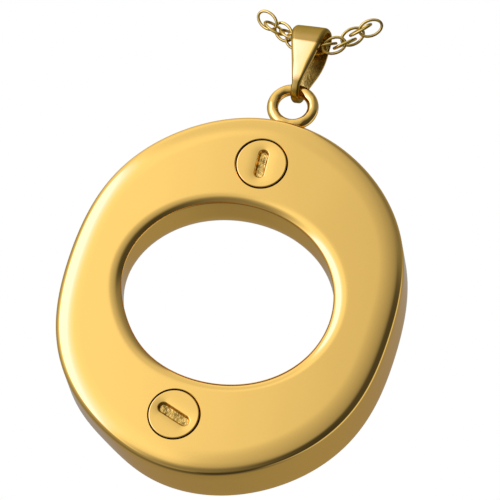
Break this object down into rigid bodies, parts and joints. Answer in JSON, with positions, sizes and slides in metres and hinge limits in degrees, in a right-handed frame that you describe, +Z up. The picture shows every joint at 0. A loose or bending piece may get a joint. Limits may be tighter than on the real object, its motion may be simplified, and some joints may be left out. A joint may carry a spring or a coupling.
{
  "type": "pendant",
  "caption": "Thick open oval ring pendant with flush slotted filler plugs, a soldered wire loop, a tapered bail and a short piece of fine chain.",
  "frame": {"origin": "middle of the bail's top bend, on the chain's line, where the pendant hangs from the chain", "axes": "+Z up while it hangs, -Y the front face with the filler plugs, +X to the right seen from the front"},
  "size_m": [0.027, 0.0068, 0.0417],
  "materials": {
    "pendant_gold": "polished yellow gold",
    "plug_gold": "polished yellow gold",
    "bail_gold": "polished yellow gold",
    "chain_gold": "bright polished yellow gold"
  },
  "bodies": {
    "chain": {"link_01": "chain_gold", "link_02": "chain_gold", "link_03": "chain_gold", "link_04": "chain_gold", "link_05": "chain_gold", "link_06": "chain_gold", "link_07": "chain_gold", "link_08": "chain_gold", "link_09": "chain_gold", "link_10": "chain_gold", "link_11": "chain_gold", "link_12": "chain_gold", "link_13": "chain_gold"},
    "bail": {"bail": "bail_gold"},
    "pendant": {"pendant": "pendant_gold"},
    "plug_top": {"plug_top": "plug_gold"},
    "plug_bottom": {"plug_bottom": "plug_gold"}
  },
  "joints": [
    {"name": "bail_swing", "type": "hinge", "parent": "chain", "child": "bail", "pos_m": [0, 0, 0], "axis": [0.9816, -0.1908, 0], "range_deg": [-60, 60]},
    {"name": "loop_swing", "type": "hinge", "parent": "bail", "child": "pendant", "pos_m": [0.00014, -0.00003, -0.00584], "axis": [0, 1, 0], "range_deg": [-45, 45]},
    {"name": "plug_top_out", "type": "slide", "parent": "pendant", "child": "plug_top", "axis": [0, -1, 0], "range_m": [0, 0.005]},
    {"name": "plug_bottom_out", "type": "slide", "parent": "pendant", "child": "plug_bottom", "axis": [0, -1, 0], "range_m": [0, 0.005]}
  ]
}
